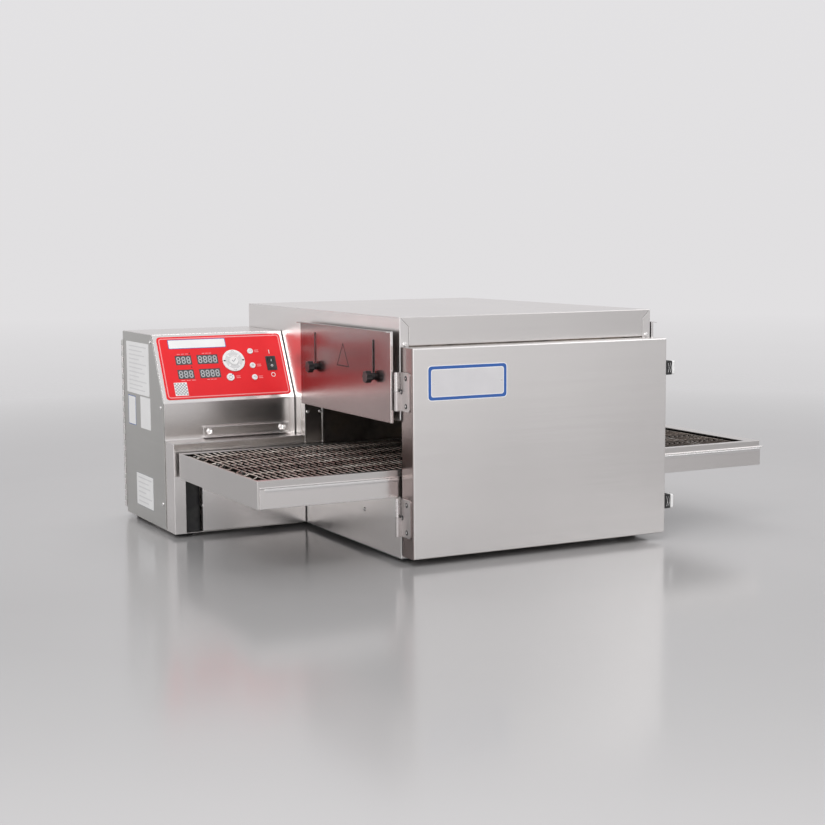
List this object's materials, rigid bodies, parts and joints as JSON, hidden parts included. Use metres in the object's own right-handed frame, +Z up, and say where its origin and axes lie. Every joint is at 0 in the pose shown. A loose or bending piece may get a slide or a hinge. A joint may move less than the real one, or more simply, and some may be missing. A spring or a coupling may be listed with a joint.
{
  "type": "conveyor pizza oven",
  "caption": "Countertop conveyor oven: a stainless tunnel chamber with a hinged front door, a wire belt through both sides, sliding end baffles and a sloped control housing.",
  "frame": {"origin": "centre of the baking chamber's footprint, on the worktop under its feet", "axes": "+X along the belt to the right as seen from the door, +Y from the door to the back, +Z up"},
  "size_m": [1.127, 0.83, 0.45],
  "materials": {
    "stainless": "brushed stainless sheet, slightly worn",
    "stainless_polished": "mirror polished stainless",
    "stainless_dark": "heat-tinted, baked-on brown",
    "galvanised": "dull zinc-coated sheet",
    "belt_wire": "round stainless wire with brown heat film",
    "zinc_hardware": "satin hinge and fastener steel",
    "shaft_steel": "turned steel",
    "black_knob": "black phenolic",
    "black_plastic": "moulded black",
    "red_overlay": "red film with a satin sheen",
    "display": "dark red display window",
    "key_white": "light key cap",
    "rubber_foot": "black rubber",
    "gasket": "woven glass rope",
    "insulation": "mineral wool",
    "motor_paint": "black motor enamel",
    "bearing_bronze": "sintered bronze"
  },
  "bodies": {
    "oven": {"side_wall_left": "stainless", "side_wall_right": "stainless", "back_panel": "stainless", "base_pan": "galvanised", "top_cover": "stainless", "cavity_liner": "stainless_dark", "insulation_wrap": "insulation", "mouth_frame_left": "stainless", "mouth_frame_right": "stainless", "jet_duct_upper": "stainless_dark", "jet_duct_lower": "stainless_dark", "plenum_wall": "stainless_dark", "heating_element": "stainless_dark", "fan_motor": "motor_paint", "hinge_body_leaves": "zinc_hardware", "latch_strikers": "zinc_hardware", "baffle_studs": "zinc_hardware", "conveyor_frame": "stainless", "belt_bearings": "bearing_bronze", "apron": "stainless", "belt": "belt_wire", "gear_motor": "motor_paint", "control_body": "stainless", "control_fascia": "stainless", "overlay_panel": "red_overlay", "display_board": "display", "rocker_bezel": "black_plastic", "step_column": "stainless", "lower_front_panel": "stainless", "ledge_bracket": "stainless", "acorn_nuts": "zinc_hardware", "piano_hinge": "zinc_hardware", "power_inlet": "black_plastic", "screws": "zinc_hardware", "feet": "rubber_foot"},
    "door": {"door_skin": "stainless", "door_liner": "stainless_dark", "door_insulation": "insulation", "door_gasket": "gasket", "hinge_door_leaves": "zinc_hardware", "latch_bodies": "black_plastic"},
    "latch_upper": {"latch_handle_upper": "stainless_polished"},
    "latch_lower": {"latch_handle_lower": "stainless_polished"},
    "baffle_left": {"baffle_left": "stainless_polished"},
    "baffle_right": {"baffle_right": "stainless_polished"},
    "knob_left_front": {"knob_left_front": "black_knob"},
    "knob_left_rear": {"knob_left_rear": "black_knob"},
    "knob_right_front": {"knob_right_front": "black_knob"},
    "knob_right_rear": {"knob_right_rear": "black_knob"},
    "access_panel": {"access_panel": "stainless"},
    "power_rocker": {"rocker": "black_plastic"},
    "pad_ring": {"pad_ring": "key_white"},
    "pad_centre": {"pad_centre": "key_white"},
    "key_top": {"key_top": "key_white"},
    "key_middle": {"key_middle": "key_white"},
    "key_bottom": {"key_bottom": "key_white"},
    "key_start": {"key_start": "key_white"},
    "belt_drive": {"drive_shaft": "shaft_steel"},
    "belt_idler": {"idler_shaft": "shaft_steel"},
    "convection_fan": {"fan_impeller": "galvanised"}
  },
  "joints": [
    {"name": "door_hinge", "type": "hinge", "parent": "oven", "child": "door", "pos_m": [-0.283, -0.369, 0.2], "axis": [0, 0, 1], "range_deg": [-100, 0]},
    {"name": "latch_upper_turn", "type": "hinge", "parent": "door", "child": "latch_upper", "pos_m": [0.29, -0.396, 0.3375], "axis": [1, 0, 0], "range_deg": [0, 75]},
    {"name": "latch_lower_turn", "type": "hinge", "parent": "door", "child": "latch_lower", "pos_m": [0.29, -0.396, 0.0745], "axis": [1, 0, 0], "range_deg": [0, 75]},
    {"name": "baffle_left_slide", "type": "slide", "parent": "oven", "child": "baffle_left", "axis": [0, 0, -1], "range_m": [0, 0.055]},
    {"name": "baffle_right_slide", "type": "slide", "parent": "oven", "child": "baffle_right", "axis": [0, 0, -1], "range_m": [0, 0.055]},
    {"name": "knob_left_front_turn", "type": "hinge", "parent": "oven", "child": "knob_left_front", "pos_m": [-0.298, -0.2885, 0.338], "axis": [1, 0, 0], "continuous": true},
    {"name": "knob_left_rear_turn", "type": "hinge", "parent": "oven", "child": "knob_left_rear", "pos_m": [-0.298, -0.0245, 0.338], "axis": [1, 0, 0], "continuous": true},
    {"name": "knob_right_front_turn", "type": "hinge", "parent": "oven", "child": "knob_right_front", "pos_m": [0.298, -0.2885, 0.338], "axis": [1, 0, 0], "continuous": true},
    {"name": "knob_right_rear_turn", "type": "hinge", "parent": "oven", "child": "knob_right_rear", "pos_m": [0.298, -0.0245, 0.338], "axis": [1, 0, 0], "continuous": true},
    {"name": "access_panel_hinge", "type": "hinge", "parent": "oven", "child": "access_panel", "pos_m": [-0.561, 0.38, 0.2], "axis": [0, 0, 1], "range_deg": [-110, 0]},
    {"name": "power_rocker_tilt", "type": "hinge", "parent": "oven", "child": "power_rocker", "pos_m": [-0.3134, 0.15025, 0.33346], "axis": [1, 0, 0], "range_deg": [-13, 0]},
    {"name": "pad_ring_tilt", "type": "hinge", "parent": "oven", "child": "pad_ring", "pos_m": [-0.3947, 0.1546, 0.3419], "axis": [0, 0.4578, 0.8891], "range_deg": [-1.5, 1.5], "stiffness_Nm_per_rad": 0.6},
    {"name": "pad_centre_press", "type": "slide", "parent": "oven", "child": "pad_centre", "axis": [0, 0.8891, -0.4578], "range_m": [0, 0.0008], "stiffness_N_per_m": 500},
    {"name": "key_top_press", "type": "slide", "parent": "oven", "child": "key_top", "axis": [0, 0.8891, -0.4578], "range_m": [0, 0.0008], "stiffness_N_per_m": 500},
    {"name": "key_middle_press", "type": "slide", "parent": "oven", "child": "key_middle", "axis": [0, 0.8891, -0.4578], "range_m": [0, 0.0008], "stiffness_N_per_m": 500},
    {"name": "key_bottom_press", "type": "slide", "parent": "oven", "child": "key_bottom", "axis": [0, 0.8891, -0.4578], "range_m": [0, 0.0008], "stiffness_N_per_m": 500},
    {"name": "key_start_press", "type": "slide", "parent": "oven", "child": "key_start", "axis": [0, 0.8891, -0.4578], "range_m": [0, 0.0008], "stiffness_N_per_m": 500},
    {"name": "belt_drive_spin", "type": "hinge", "parent": "oven", "child": "belt_drive", "pos_m": [-0.526, 0, 0.1495], "axis": [0, 1, 0], "continuous": true},
    {"name": "belt_idler_spin", "type": "hinge", "parent": "oven", "child": "belt_idler", "pos_m": [0.502, 0, 0.1495], "axis": [0, 1, 0], "continuous": true},
    {"name": "convection_fan_spin", "type": "hinge", "parent": "oven", "child": "convection_fan", "pos_m": [0, 0.15, 0.22], "axis": [0, 1, 0], "continuous": true}
  ],
  "couplings": [
    {"joint": "belt_idler_spin", "follows": "belt_drive_spin", "ratio": 1}
  ]
}
